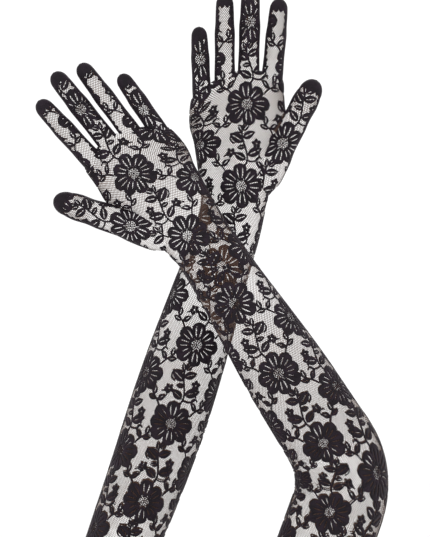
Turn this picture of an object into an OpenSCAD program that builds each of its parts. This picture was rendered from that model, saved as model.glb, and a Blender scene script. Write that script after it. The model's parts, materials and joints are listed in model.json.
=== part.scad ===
// Pair of long lace opera gloves in their worn shape, the left one crossed over the right.
// Each glove is a chain of thin tubes: upper sleeve, forearm, hand, and two lengths for each
// finger and the thumb. A tube that turns in the one before it starts with a rounded foot
// that sits inside the last rim, so every joint can bend and stays closed.
// +Z runs up the arms, the palms face -Y, and the origin is the centre of the right cuff.

/* [Glove Length] */
// Sleeve length from the cuff edge to the elbow
upper_len = 140; // [115:1:170]
// Sleeve length from the elbow to the wrist
forearm_len = 228; // [190:1:275]
// Hand length from the wrist to the highest knuckle
hand_len = 118; // [104:1:142]

/* [Sleeve Girth] */
// Inner radius of the round cuff
cuff_r = 39; // [33:0.5:47]
// Half width of the upper sleeve, right and left
upper_w = [30, 39.5]; // [27:0.5:47]
// Half depth of the upper sleeve, right and left
upper_d = [38, 34.5]; // [27:0.5:46]
// Half width at the elbow, right and left
elbow_w = [33, 39]; // [27:0.5:46]
// Half depth at the elbow, right and left
elbow_d = [35, 34]; // [27:0.5:42]
// Half width of the thick of the forearm, right and left
forearm_w = [34, 37]; // [27:0.5:44]
// Half depth of the thick of the forearm, right and left
forearm_d = [31, 30]; // [24:0.5:36]
// Half width at the wrist
wrist_w = 27; // [23:0.5:32]
// Half depth at the wrist
wrist_d = 20; // [17:0.5:24]

/* [Hand] */
// Half depth of the hand at the knuckles
knuckle_d = 12; // [10.5:0.5:15]
// Drop of the knuckle line at the little finger
knuckle_drop = 19; // [14:1:23]
// Distance of the middle finger from the wrist's centre line
middle_x = 4.3; // [2:0.1:7]
// Free space between two fingers at their roots
finger_gap = 2.8; // [2.4:0.1:4]
// Height of the thumb's root above the wrist
thumb_z = 36; // [32:1:42]
// Distance of the thumb's root from the wrist's centre line
thumb_x = 26; // [24:0.5:30]

/* [Fingers] */
// Lengths of the index, middle, ring and little finger
finger_len = [69, 76, 73, 57]; // [46:1:92]
// Half widths of the index, middle, ring and little finger
finger_w = [8.6, 8.7, 8.3, 7.5]; // [6.2:0.1:10.5]
// Fan of each finger towards the thumb, in degrees
finger_fan = [1.5, -2.5, -4, -6.5]; // [-8:0.5:3]
// Half depth of a finger as a share of its half width
finger_flat = 0.92; // [0.85:0.01:1]
// Half width of the thumb
thumb_w = 11; // [9:0.5:13]
// Length of the thumb from its root to its tip
thumb_len = 89; // [78:1:106]
// Length of the thumb's fixed base, up to its first bend
thumb_base_len = 45; // [38:1:52]

/* [Cuff Hem] */
// Height of the folded hem
hem_len = 14; // [11:1:18]
// Free space between the two plies of the hem, where the elastic runs
hem_channel = 1.6; // [1.3:0.1:2.2]
// Thickness of the elastic
elastic_t = 1.1; // [0.8:0.1:1.2]
// Height of the elastic
elastic_h = 9; // [7:0.5:9.2]
// Height of the hem's stitching above its edge
stitch_z = 12.4; // [9.6:0.1:13.2]
// Thickness of the stitching thread
thread_t = 0.5; // [0.3:0.05:0.6]

/* [Cloth] */
// Thickness of the lace with the room it takes over an arm
wall = 0.8; // [0.6:0.05:1]
// Width of the overlocked seam
seam_w = 2.4; // [1.6:0.1:3]
// Height of the overlocked seam
seam_h = 0.9; // [0.6:0.1:1.2]

/* [Arrangement] */
// Lean of the upper sleeve from vertical, right and left, in degrees towards the thumb
upper_lean = [20.8, -19.5]; // [-30:0.1:30]
// Lean of the forearm from vertical, right and left, in degrees towards the thumb
forearm_lean = [18.1, 32.5]; // [10:0.1:40]
// Lean of the hand from vertical, right and left, in degrees towards the thumb
hand_lean = [4, 41]; // [0:0.1:45]
// Spread of the thumb from the hand, right and left, in degrees
thumb_spread = [24, 30]; // [20:0.5:34]
// Distance from each wrist back to the crossing, right and left
cross_back = [46, 19]; // [15:1:60]
// Free space between the two gloves where they cross
glove_gap = 7; // [5:0.5:12]

/* [Movement] */
// Largest bend of each elbow towards the thumb from straight, right and left, in degrees
elbow_in = [1, 55]; // [0:1:60]
// Largest bend of each elbow away from the thumb from straight, right and left, in degrees
elbow_out = [45, 0]; // [0:1:50]
// Largest bend of each wrist towards the palm, right and left, in degrees
wrist_palm = [12, 60]; // [5:1:70]
// Largest bend of each wrist towards the back, right and left, in degrees
wrist_back = [50, 5]; // [5:1:60]
// Largest bend at the root of a finger, in degrees
root_bend = 75; // [60:1:80]
// Largest bend at the middle of a finger, in degrees
middle_bend = 90; // [60:1:90]
// Largest bend at the root of the thumb, in degrees
thumb_root_bend = 45; // [30:1:50]
// Largest bend at the middle of the thumb, in degrees
thumb_bend = 60; // [40:1:70]
// Free space between a tube's foot and the rim round it
play = 0.7; // [0.6:0.05:1]

/* [Hidden] */
RIGHT = 0;
LEFT = 1;
SIDES = ["right", "left"];
FINGERS = ["index", "middle", "ring", "little"];
LACE = "#2a1d27";
DENSE = "#1b1219";
THREAD = "#120c11";

// Corners round a sleeve, round a hand and round a finger
sleeve_n = 24;
hand_n = 24;
finger_n = 16;
// Room between a seam's thread and the bent wall under it
seam_lift = 0.2;
// The side strips of a finger take one corner each way, the seams of a hand none
side_a = 360 / finger_n;
// Share of a finger's length below its middle joint
root_share = 0.53;
// Share of a finger's half width left at its middle joint and near its tip
middle_share = 0.94;
tip_share = 0.84;
// Squareness of the hand at the wrist, at the thumb and at the knuckles
hand_square = [2, 2.3, 3.6];

// Places of the fingers across the hand, each next to its neighbour
index_x = middle_x + finger_w[1] + finger_w[0] + finger_gap;
ring_x = middle_x - finger_w[1] - finger_w[2] - finger_gap;
little_x = ring_x - finger_w[2] - finger_w[3] - finger_gap;
finger_x = [index_x, middle_x, ring_x, little_x];
// The knuckle line is a shallow arch with its crown between index and middle finger
crown_x = middle_x + 4;
arch = knuckle_drop / pow(crown_x - little_x, 2);
function knuckle(x) = hand_len - arch * pow(x - crown_x, 2);
// Edge of the hand outside the index and the little finger
hand_edge = wall + 1;

// Depth of both forearms at the crossing, and the distance between the gloves' planes
function lerp(a, b, t) = a + (b - a) * t;
function depth_at(g, back) = lerp(wrist_d, forearm_d[g], 1.2 * back / forearm_len);
plane_gap = depth_at(RIGHT, cross_back[RIGHT]) + depth_at(LEFT, cross_back[LEFT]) + glove_gap;

// Places along the chain, for a glove whose thumb is on the +X side
function along(lean, len) = [len * sin(lean), 0, len * cos(lean)];
function elbow_at(g) = along(upper_lean[g], upper_len);
function wrist_at(g) = elbow_at(g) + along(forearm_lean[g], forearm_len);
function cross_at(g) = wrist_at(g) - along(forearm_lean[g], cross_back[g]);
left_cuff = [cross_at(RIGHT)[0] + cross_at(LEFT)[0], -plane_gap, cross_at(RIGHT)[2] - cross_at(LEFT)[2]];

// ---- Tubes and strips ----
// A ring is a cross-section of a tube: station, half width, half depth, centre across, squareness,
// cuts and arch. A cut lowers the ring in proportion to the distance from the tube's centre on
// one side: towards -X, +X, -Y and +Y. The arch bows the ring down from crown_x.
no_cut = [0, 0, 0, 0];
function ring(s, w, d, c = 0, n = 2, cut = no_cut, bow = 0) = [s, w, d, c, n, cut, bow];
function power(v, n) = sign(v) * pow(abs(v), 2 / n);
function drop(cut, x, y) = cut[0] * max(0, -x) + cut[1] * max(0, x) + cut[2] * max(0, -y) + cut[3] * max(0, y);
function rim_point(r, a, grow) =
    let (x = (r[1] + grow) * power(cos(a), r[4]))
    let (y = (r[2] + grow) * power(sin(a), r[4]))
    [x + r[3], y, r[0] - drop(r[5], x, y) - r[6] * pow(x + r[3] - crown_x, 2)];

// Two triangles for the four-cornered patch a, b, c, d
function patch(a, b, c, d) = [[a, b, d], [d, b, c]];

// Outer and inner skin of a tube, from angle a0 over m steps; a whole turn is left open at neither side
module cloth(rings, m, a0 = 0, count = 0) {
    whole = count == 0;
    steps = whole ? m : count;
    across = whole ? m : count + 1;
    n = len(rings);
    points = [for (grow = [0, -wall]) for (r = rings) for (j = [0:across - 1]) rim_point(r, a0 + j * 360 / m, grow)];
    function out(i, j) = i * across + j % across;
    function inn(i, j) = n * across + i * across + j % across;
    skins = [for (i = [0:n - 2]) for (j = [0:steps - 1]) for (t = concat(
        patch(out(i, j), out(i + 1, j), out(i + 1, j + 1), out(i, j + 1)),
        patch(inn(i, j + 1), inn(i + 1, j + 1), inn(i + 1, j), inn(i, j)))) t];
    ends = [for (j = [0:steps - 1]) for (t = concat(
        patch(out(0, j), out(0, j + 1), inn(0, j + 1), inn(0, j)),
        patch(out(n - 1, j), inn(n - 1, j), inn(n - 1, j + 1), out(n - 1, j + 1)))) t];
    edges = [for (i = [0:n - 2]) for (t = concat(
        patch(inn(i, 0), inn(i + 1, 0), out(i + 1, 0), out(i, 0)),
        [[inn(i, steps), out(i, steps), inn(i + 1, steps)],
         [out(i, steps), out(i + 1, steps), inn(i + 1, steps)]])) t];
    polyhedron(points, concat(skins, ends, whole ? [] : edges));
}

// Overlocked seam: a low ridge that straddles a tube's corner at angle a
module ridge(rings, m, a) {
    n = len(rings);
    function foot(r, side) =
        let (v = rim_point(r, a, 0))
        let (next = rim_point(r, a + side * 360 / m, 0))
        v + (next - v) * min(0.45, seam_w / 2 / norm(next - v));
    function lift(p, r, h) = let (q = [p[0] - r[3], p[1], 0]) p + q / norm(q) * (seam_lift + h);
    function section(r) =
        let (l = foot(r, 1))
        let (m = rim_point(r, a, 0))
        let (o = foot(r, -1))
        [lift(o, r, 0), lift(o, r, seam_h), lift(m, r, seam_h), lift(l, r, seam_h), lift(l, r, 0), lift(m, r, 0)];
    points = [for (r = rings) for (p = section(r)) p];
    walls = [for (i = [0:n - 2]) for (j = [0:5])
        for (t = patch(6 * i + j, 6 * i + 6 + j, 6 * i + 6 + (j + 1) % 6, 6 * i + (j + 1) % 6)) t];
    caps = [[0, 1, 2], [0, 2, 5], [5, 2, 3], [5, 3, 4]];
    polyhedron(points, concat(walls, caps, [for (c = caps) [for (k = [2, 1, 0]) c[k] + 6 * (n - 1)]]));
}

// Rounded foot of a tube that turns about its own X axis (hinge across) or Y axis (hinge through)
function foot(w, d, reach, n = 2, steps = 2) = [for (k = [0:steps - 1])
    let (a = 58 * (steps - k) / steps) ring(-reach * sin(a), w * cos(a), d * cos(a), n = n)];

// ---- Cross-sections of each part ----
function half_tan(a) = tan(a / 2);

function upper_rings(g) =
    let (cuts = [half_tan(elbow_out[g]) + 0.02, half_tan(elbow_in[g]) + 0.02, 0, 0])
    let (w = elbow_w[g] + play + wall)
    let (d = elbow_d[g] + play + wall)
    [ring(hem_len, cuff_r + wall, cuff_r + wall),
     ring(upper_len * 0.38, upper_w[g], upper_d[g]),
     ring(upper_len * 0.68, lerp(upper_w[g], w, 0.5), lerp(upper_d[g], d, 0.5)),
     ring(upper_len, w, d, cut = cuts)];

wrist_out = [wrist_w + play + wall, wrist_d + play + wall];
function forearm_ring(g, t, share) = ring(forearm_len * t, lerp(wrist_out[0], forearm_w[g], share),
    lerp(wrist_out[1], forearm_d[g], share));
function forearm_rings(g) =
    let (turn = hand_lean[g] - forearm_lean[g])
    let (cuts = [half_tan(max(0, -turn)), half_tan(max(0, turn)), half_tan(wrist_palm[g]), half_tan(wrist_back[g])])
    concat(foot(elbow_w[g], elbow_d[g], elbow_w[g]),
        [ring(0, elbow_w[g], elbow_d[g]),
         forearm_ring(g, 0.2, 1),
         forearm_ring(g, 0.42, 0.86),
         forearm_ring(g, 0.66, 0.46),
         forearm_ring(g, 0.86, 0.1),
         ring(forearm_len, wrist_out[0], wrist_out[1], cut = [for (c = cuts) c + 0.02])]);

// The hand leaves a bay on its thumb side, the seam's height and a clearance away from the thumb
thumb_room = thumb_w + play + wall + seam_h + 3 * seam_lift;
function thumb_line(g, s) = thumb_x - thumb_room / cos(thumb_spread[g]) + (s - thumb_z) * tan(thumb_spread[g]);
function hand_ring(s, low, high, d, n, cut = no_cut, bow = 0) =
    ring(s, (high - low) / 2, d, c = (high + low) / 2, n = n, cut = cut, bow = bow);
function hand_rings(g) =
    let (low = little_x - finger_w[3] - hand_edge)
    let (high = index_x + finger_w[0] + hand_edge)
    concat(foot(wrist_w, wrist_d, wrist_d),
        [ring(0, wrist_w, wrist_d),
         hand_ring(thumb_z * 0.5, -wrist_w - 2, wrist_w + 1, wrist_d * 0.9, hand_square[0]),
         hand_ring(thumb_z * 0.89, -wrist_w - 5, thumb_line(g, thumb_z * 0.89), wrist_d * 0.8, hand_square[1]),
         hand_ring(hand_len * 0.5, lerp(-wrist_w, low, 0.62), thumb_line(g, hand_len * 0.5), wrist_d * 0.74, hand_square[1]),
         hand_ring(hand_len * 0.68, lerp(-wrist_w, low, 0.86), min(high, thumb_line(g, hand_len * 0.68)),
            lerp(knuckle_d, wrist_d * 0.74, 0.5), hand_square[1]),
         hand_ring(hand_len, low, high, knuckle_d, hand_square[2], cut = [0, 0, half_tan(root_bend), 0], bow = arch)]);

function finger_root_rings(w, d, len, bend) = concat(foot(w, d, d),
    [ring(0, w, d),
     ring(len * 0.5, w * 0.98, d * 0.98),
     ring(len, w * middle_share + play + wall, d * middle_share + play + wall, cut = [0, 0, half_tan(bend) + 0.02, 0])]);

function finger_tip_rings(w, d, len) =
    let (w1 = w * tip_share)
    let (d1 = d * tip_share)
    concat(foot(w * middle_share, d * middle_share, d * middle_share),
        [ring(0, w * middle_share, d * middle_share),
         ring(len - w1 * 1.15, w1, d1),
         ring(len - w1 * 0.45, w1 * 0.8, d1 * 0.8),
         ring(len - w1 * 0.12, w1 * 0.45, d1 * 0.45),
         ring(len, wall + 0.12, wall + 0.12)]);

// ---- Places ----
module on_glove(g) {
    if (g == RIGHT) children();
    else translate(left_cuff) mirror([1, 0, 0]) children();
}
module on_upper(g) { on_glove(g) rotate([0, upper_lean[g], 0]) children(); }
module on_forearm(g) { on_glove(g) translate(elbow_at(g)) rotate([0, forearm_lean[g], 0]) children(); }
module on_hand(g) { on_glove(g) translate(wrist_at(g)) rotate([0, hand_lean[g], 0]) children(); }
module on_finger(g, f, s = 0) {
    on_hand(g) translate([finger_x[f], 0, knuckle(finger_x[f])]) rotate([0, finger_fan[f], 0]) translate([0, 0, s]) children();
}
module on_thumb(g, s = 0) {
    on_hand(g) translate([thumb_x, 0, thumb_z]) rotate([0, thumb_spread[g], 0]) translate([0, 0, s]) children();
}

// ---- Parts ----
// Folded hem: two plies joined at the edge and at the stitching, with a channel between
module cuff_hem(g) {
    outer_r = cuff_r + 2 * wall + hem_channel;
    color(DENSE) on_upper(g) rotate_extrude($fn = 96) difference() {
        translate([cuff_r, 0]) square([outer_r - cuff_r, hem_len]);
        translate([cuff_r + wall, wall]) square([hem_channel, stitch_z - wall]);
    }
}

// Flat elastic, free to slide in the hem's channel
module cuff_elastic(g) {
    slack = (hem_channel - elastic_t) / 2;
    color("#3a3436") on_upper(g) rotate_extrude($fn = 96)
        translate([cuff_r + wall + slack, wall + slack]) square([elastic_t, elastic_h]);
}

// Twin row of stitching round the hem
module hem_stitching(g) {
    outer_r = cuff_r + 2 * wall + hem_channel;
    color(THREAD) on_upper(g) for (z = [stitch_z, stitch_z - 1.8]) translate([0, 0, z])
        rotate_extrude($fn = 96) translate([outer_r, 0]) square([thread_t, thread_t]);
}

module upper_sleeve(g) { color(LACE) on_upper(g) cloth(upper_rings(g), sleeve_n); }
module upper_seam(g) { color(THREAD) on_upper(g) ridge(upper_rings(g), sleeve_n, 180); }
module forearm_sleeve(g) { color(LACE) on_forearm(g) cloth(forearm_rings(g), sleeve_n); }

// The forearm's seam starts clear of the upper sleeve's rim
module forearm_seam(g) {
    rings = forearm_rings(g);
    color(THREAD) on_forearm(g) ridge([for (k = [3:len(rings) - 1]) rings[k]], sleeve_n, 180);
}

module palm_panel(g) { color(LACE) on_hand(g) cloth(hand_rings(g), hand_n, 180, hand_n / 2); }
module back_panel(g) { color(LACE) on_hand(g) cloth(hand_rings(g), hand_n, 0, hand_n / 2); }

// Side and thumb seams, from past the wrist's rim to below the knuckles
module hand_seam(g, a) {
    rings = hand_rings(g);
    color(THREAD) on_hand(g) ridge([for (k = [3:len(rings) - 2]) rings[k]], hand_n, a);
}
module side_seam(g) { hand_seam(g, 180); }
module thumb_seam(g) { hand_seam(g, 0); }

function root_rings(f) = finger_root_rings(finger_w[f], finger_w[f] * finger_flat, finger_len[f] * root_share, middle_bend);
function tip_rings(f) = finger_tip_rings(finger_w[f], finger_w[f] * finger_flat, finger_len[f] * (1 - root_share));

// Palm-side and back strips of a finger, and the dense strips along its two sides
module face_strips(rings) { for (a = [side_a, 180 + side_a]) cloth(rings, finger_n, a, finger_n / 2 - 2); }
module side_strips(rings) { for (a = [-side_a, 180 - side_a]) cloth(rings, finger_n, a, 2); }

module finger_root(g, f) { color(LACE) on_finger(g, f) face_strips(root_rings(f)); }
module finger_root_sides(g, f) { color(DENSE) on_finger(g, f) side_strips(root_rings(f)); }
module finger_tip(g, f) { color(LACE) on_finger(g, f, finger_len[f] * root_share) face_strips(tip_rings(f)); }
module finger_tip_sides(g, f) { color(DENSE) on_finger(g, f, finger_len[f] * root_share) side_strips(tip_rings(f)); }

// The thumb: a base fixed to the hand and two lengths that bend
thumb_split = lerp(thumb_base_len, thumb_len, 0.47);
thumb_d = thumb_w * 0.94;
module thumb_base(g) {
    w = thumb_w + play + wall;
    d = thumb_d + play + wall;
    rings = concat(foot(thumb_w, thumb_d, thumb_w),
        [ring(0, thumb_w, thumb_d),
         ring(thumb_base_len * 0.5, w, d),
         ring(thumb_base_len, w, d, cut = [0, 0, half_tan(thumb_root_bend) + 0.02, 0])]);
    color(LACE) on_thumb(g) cloth(rings, finger_n);
}
module thumb_root(g) {
    rings = finger_root_rings(thumb_w, thumb_d, thumb_split - thumb_base_len, thumb_bend);
    color(LACE) on_thumb(g, thumb_base_len) cloth(rings, finger_n);
}
module thumb_tip(g) {
    color(LACE) on_thumb(g, thumb_split) cloth(finger_tip_rings(thumb_w, thumb_d, thumb_len - thumb_split), finger_n);
}

for (g = [RIGHT, LEFT]) {
    cuff_hem(g);
    cuff_elastic(g);
    hem_stitching(g);
    upper_sleeve(g);
    upper_seam(g);
    forearm_sleeve(g);
    forearm_seam(g);
    palm_panel(g);
    back_panel(g);
    side_seam(g);
    thumb_seam(g);
    thumb_base(g);
    thumb_root(g);
    thumb_tip(g);
    for (f = [0:3]) {
        finger_root(g, f);
        finger_root_sides(g, f);
        finger_tip(g, f);
        finger_tip_sides(g, f);
    }
}
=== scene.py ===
"""Pair of long black lace opera gloves in their worn shape, the left one crossed over the right.

Every glove is a set of sheets of stretch lace. A sheet is a fine net, and on it lies a layer of
raised flowers, leaves and stems. The net and the flowers are drawn flat, in millimetres across and
along the glove, and are then wrapped on the tubes of the arm, the hand and the fingers.
"""

import json
import logging
import math
from dataclasses import dataclass, field
from enum import Enum

import bmesh
import bpy
import numpy as np
from mathutils import Matrix, Vector


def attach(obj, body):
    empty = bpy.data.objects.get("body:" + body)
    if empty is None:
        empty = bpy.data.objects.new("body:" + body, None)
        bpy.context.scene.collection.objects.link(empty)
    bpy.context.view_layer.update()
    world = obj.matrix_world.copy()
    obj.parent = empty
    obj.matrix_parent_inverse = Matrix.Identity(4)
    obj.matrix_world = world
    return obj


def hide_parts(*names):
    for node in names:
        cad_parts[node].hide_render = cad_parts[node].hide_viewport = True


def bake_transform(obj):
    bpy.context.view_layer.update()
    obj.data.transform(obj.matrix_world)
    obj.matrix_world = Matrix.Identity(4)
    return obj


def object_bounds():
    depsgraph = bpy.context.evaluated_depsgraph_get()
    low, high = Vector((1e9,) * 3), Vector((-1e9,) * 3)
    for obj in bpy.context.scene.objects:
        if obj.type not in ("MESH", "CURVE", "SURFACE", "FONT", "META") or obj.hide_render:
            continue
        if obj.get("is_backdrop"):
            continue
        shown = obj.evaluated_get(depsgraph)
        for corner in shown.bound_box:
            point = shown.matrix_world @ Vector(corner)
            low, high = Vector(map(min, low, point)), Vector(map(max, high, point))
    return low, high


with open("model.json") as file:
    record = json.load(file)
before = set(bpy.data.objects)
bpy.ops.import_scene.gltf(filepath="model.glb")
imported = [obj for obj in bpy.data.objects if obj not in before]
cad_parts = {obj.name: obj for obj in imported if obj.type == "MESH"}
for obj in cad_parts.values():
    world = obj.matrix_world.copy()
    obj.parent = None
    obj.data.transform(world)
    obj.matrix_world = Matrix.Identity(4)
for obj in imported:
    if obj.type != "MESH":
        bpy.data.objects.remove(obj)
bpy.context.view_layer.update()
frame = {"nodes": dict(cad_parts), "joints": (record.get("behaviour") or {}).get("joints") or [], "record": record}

MM = 0.001
LOG = logging.getLogger("opera_gloves")
FINGERS = ("index", "middle", "ring", "little")


# ---------------------------------------------------------------- shading


class Channel:
    """A number on its way through a material, with Python's operators."""

    def __init__(self, shading: "Shading", socket: bpy.types.NodeSocket) -> None:
        """Wrap one output socket of a node."""
        self.shading = shading
        self.socket = socket

    def math(self, operation: str, *others: "Channel | float") -> "Channel":
        """Combine with other numbers.

        Args:
            operation: the Math node's operation.
            others: the further operands.
        Returns:
            The result.
        """
        values = {i: v for i, v in enumerate((self, *others))}
        node = self.shading.node("ShaderNodeMath", {"operation": operation}, values)
        return Channel(self.shading, node.outputs[0])

    def _flipped(self, operation: str, other: float) -> "Channel":
        """The operation with a plain number as the first operand."""
        node = self.shading.node("ShaderNodeMath", {"operation": operation}, {0: other, 1: self})
        return Channel(self.shading, node.outputs[0])

    def __add__(self, other: "Channel | float") -> "Channel":
        """Sum."""
        return self.math("ADD", other)

    def __sub__(self, other: "Channel | float") -> "Channel":
        """Difference."""
        return self.math("SUBTRACT", other)

    def __mul__(self, other: "Channel | float") -> "Channel":
        """Product."""
        return self.math("MULTIPLY", other)

    def __truediv__(self, other: "Channel | float") -> "Channel":
        """Quotient."""
        return self.math("DIVIDE", other)

    def __rsub__(self, other: float) -> "Channel":
        """Difference from a plain number."""
        return self._flipped("SUBTRACT", other)

    __radd__ = __add__
    __rmul__ = __mul__

    def ping_pong(self, scale: float) -> "Channel":
        """Distance to the nearest even multiple of scale."""
        return self.math("PINGPONG", scale)

    def less(self, limit: "Channel | float") -> "Channel":
        """One where this is below the limit, else zero."""
        return self.math("LESS_THAN", limit)

    def greatest(self, other: "Channel | float") -> "Channel":
        """The larger of the two."""
        return self.math("MAXIMUM", other)

    def band(self, low: float, high: float) -> "Channel":
        """Rise smoothly from 0 at low to 1 at high."""
        settings = {"interpolation_type": "SMOOTHSTEP"}
        values = {"Value": self, "From Min": low, "From Max": high}
        node = self.shading.node("ShaderNodeMapRange", settings, values)
        return Channel(self.shading, node.outputs["Result"])


class Shading:
    """The node tree of one material."""

    def __init__(self, name: str) -> None:
        """Start a material with one Principled shader."""
        self.material = bpy.data.materials.new(name)
        self.material.use_nodes = True
        self.tree = self.material.node_tree
        self.shader = self.tree.nodes["Principled BSDF"]

    def node(self, kind: str, settings: dict | None = None, values: dict | None = None) -> bpy.types.Node:
        """Add a node.

        Args:
            kind: the node's type.
            settings: properties, set before the sockets.
            values: a number, colour or Channel for each named or numbered input.
        Returns:
            The node.
        """
        made = self.tree.nodes.new(kind)
        for key, value in (settings or {}).items():
            setattr(made, key, value)
        for key, value in (values or {}).items():
            self.feed(made.inputs[key], value)
        return made

    def feed(self, socket: bpy.types.NodeSocket, value: object) -> None:
        """Link a Channel or an output to a socket, or set the socket's own value."""
        if isinstance(value, Channel):
            self.tree.links.new(value.socket, socket)
        elif isinstance(value, bpy.types.NodeSocket):
            self.tree.links.new(value, socket)
        else:
            socket.default_value = value

    def flat_place(self) -> tuple[Channel, Channel, bpy.types.NodeSocket]:
        """The place on the flat cloth: across and along in metres, and both as a vector."""
        place = self.node("ShaderNodeUVMap", {"uv_map": "cloth"}).outputs["UV"]
        parts = self.node("ShaderNodeSeparateXYZ", None, {0: place})
        return Channel(self, parts.outputs["X"]), Channel(self, parts.outputs["Y"]), place

    def noise(self, place: bpy.types.NodeSocket, scale: float, detail: float = 2.0) -> Channel:
        """Smooth noise from 0 to 1."""
        made = self.node("ShaderNodeTexNoise", None, {"Vector": place, "Scale": scale, "Detail": detail})
        return Channel(self, made.outputs["Fac"])

    def mixed(self, share: Channel, first: tuple, second: tuple) -> bpy.types.NodeSocket:
        """A colour between two colours."""
        values = {"Factor": share, "A": (*first, 1), "B": (*second, 1)}
        return self.node("ShaderNodeMix", {"data_type": "RGBA"}, values).outputs[2]

    def bump(self, height: Channel, strength: float, distance: float) -> None:
        """Raise the surface by a height from 0 to 1."""
        values = {"Height": height, "Strength": strength, "Distance": distance}
        made = self.node("ShaderNodeBump", None, values)
        self.feed(self.shader.inputs["Normal"], made.outputs["Normal"])

    def dress(self, **values: object) -> bpy.types.Material:
        """Set the shader's inputs, named with underscores for spaces, and give the material."""
        for key, value in values.items():
            self.feed(self.shader.inputs[key.replace("_", " ")], value)
        return self.material


@dataclass(frozen=True)
class Net:
    """The fine ground net: two families of slanting threads with open meshes between them, with painted shade that
    closes and darkens the net towards the glove's sides.
    """

    name: str = "lace_net"
    pitch: float = 1.4 * MM
    thread: float = 0.23 * MM
    slant: float = 52.0
    # Painted shade: how much wider the threads grow at the glove's sides.
    edge_gain: float = 4.2
    dark: tuple = (0.028, 0.016, 0.013)
    warm: tuple = (0.170, 0.090, 0.060)

    def material(self) -> bpy.types.Material:
        """Threads that are opaque and meshes that are clear, with painted shade: wider threads and a dark colour
        near the glove's sides.
        """
        shading = Shading(self.name)
        across, along, place = shading.flat_place()
        side = shading.node("ShaderNodeAttribute", {"attribute_name": "side"})
        edge = Channel(shading, side.outputs["Fac"])
        wobble = shading.noise(place, 120.0) * (0.5 * MM)
        # Painted shade: the threads widen towards the glove's sides, so the net closes up there.
        half = (edge * self.edge_gain + 1.0) * (self.thread / 2)
        cos, sin = math.cos(math.radians(self.slant)), math.sin(math.radians(self.slant))
        masks = []
        for sign in (1, -1):
            line = (across * (sin * sign) + along * cos + wobble).ping_pong(self.pitch / 2)
            masks.append(line.less(half))
        cover = masks[0].greatest(masks[1])
        shading.bump(cover, 0.3, 0.1 * MM)
        # Painted shade: the random thread colour falls to the dark colour towards the glove's sides.
        tone_and_edge_shade = shading.noise(place, 60.0) * (1.0 - edge)
        return shading.dress(Base_Color=shading.mixed(tone_and_edge_shade, self.dark, self.warm),
                             Roughness=0.8, Sheen_Weight=0.06, Sheen_Roughness=0.5,
                             Specular_IOR_Level=0.2, Alpha=cover)


@dataclass(frozen=True)
class Satin:
    """The raised lace work: satin yarn laid close, slightly plum where it catches the light."""

    name: str = "lace_work"
    yarn: float = 0.42 * MM
    dark: tuple = (0.0040, 0.0025, 0.0042)
    light: tuple = (0.016, 0.009, 0.016)
    sheen: float = 0.06
    tint: tuple = (0.55, 0.38, 0.50)

    def material(self) -> bpy.types.Material:
        """Close yarns with uneven colour."""
        shading = Shading(self.name)
        across, along, place = shading.flat_place()
        bent = shading.noise(place, 240.0) * (1.2 * MM)
        yarns = ((across * 0.35 + along + bent).ping_pong(self.yarn / 2)) / (self.yarn / 2)
        cross = ((across - along * 0.2).ping_pong(self.yarn)) / self.yarn
        patches = shading.noise(place, 130.0, 3.0)
        share = (patches.band(0.38, 0.68) * 0.6) + (yarns * 0.3) * (cross * 0.5 + 0.5)
        shading.bump(yarns * 0.7 + cross * 0.3, 0.45, 0.12 * MM)
        return shading.dress(Base_Color=shading.mixed(share, self.dark, self.light),
                             Roughness=patches * 0.25 + 0.58, Sheen_Weight=self.sheen, Sheen_Roughness=0.45,
                             Sheen_Tint=(*self.tint, 1), Specular_IOR_Level=0.16)


@dataclass(frozen=True)
class Thread:
    """Twisted sewing thread."""

    name: str = "sewing_thread"
    twist: float = 0.35 * MM
    dark: tuple = (0.006, 0.004, 0.006)
    light: tuple = (0.022, 0.014, 0.020)

    def material(self) -> bpy.types.Material:
        """Slanting plies on a dark thread."""
        shading = Shading(self.name)
        place = shading.node("ShaderNodeTexCoord").outputs["Object"]
        parts = shading.node("ShaderNodeSeparateXYZ", None, {0: place})
        x, y, z = (Channel(shading, parts.outputs[i]) for i in range(3))
        plies = (x + y + z * 1.7).ping_pong(self.twist / 2) / (self.twist / 2)
        shading.bump(plies, 0.5, 0.08 * MM)
        return shading.dress(Base_Color=shading.mixed(plies * 0.6, self.dark, self.light), Roughness=0.6,
                             Sheen_Weight=0.2)


@dataclass(frozen=True)
class Elastic:
    """Covered flat elastic: upright ribs of rubber in a dark knitted cover."""

    name: str = "covered_elastic"
    rib: float = 1.1 * MM
    dark: tuple = (0.022, 0.019, 0.021)
    light: tuple = (0.06, 0.053, 0.057)

    def material(self) -> bpy.types.Material:
        """Ribs along the band with a slight speckle."""
        shading = Shading(self.name)
        place = shading.node("ShaderNodeTexCoord").outputs["Object"]
        parts = shading.node("ShaderNodeSeparateXYZ", None, {0: place})
        ribs = Channel(shading, parts.outputs["Z"]).ping_pong(self.rib / 2) / (self.rib / 2)
        speckle = shading.noise(place, 1500.0)
        shading.bump(ribs * 0.8 + speckle * 0.2, 0.5, 0.2 * MM)
        colour = shading.mixed(ribs * 0.6 + speckle * 0.3, self.dark, self.light)
        return shading.dress(Base_Color=colour, Roughness=0.8)


@dataclass(frozen=True)
class Paper:
    """Pale seamless paper under the object."""

    name: str = "pale_floor"
    colour: tuple = (0.93, 0.93, 0.925)

    def material(self) -> bpy.types.Material:
        """Almost even pale paper."""
        shading = Shading(self.name)
        place = shading.node("ShaderNodeTexCoord").outputs["Object"]
        grain = shading.noise(place, 6.0)
        paler = tuple(c * 0.985 for c in self.colour)
        return shading.dress(Base_Color=shading.mixed(grain, self.colour, paler), Roughness=0.9)


# ---------------------------------------------------------------- flat drawings


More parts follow.
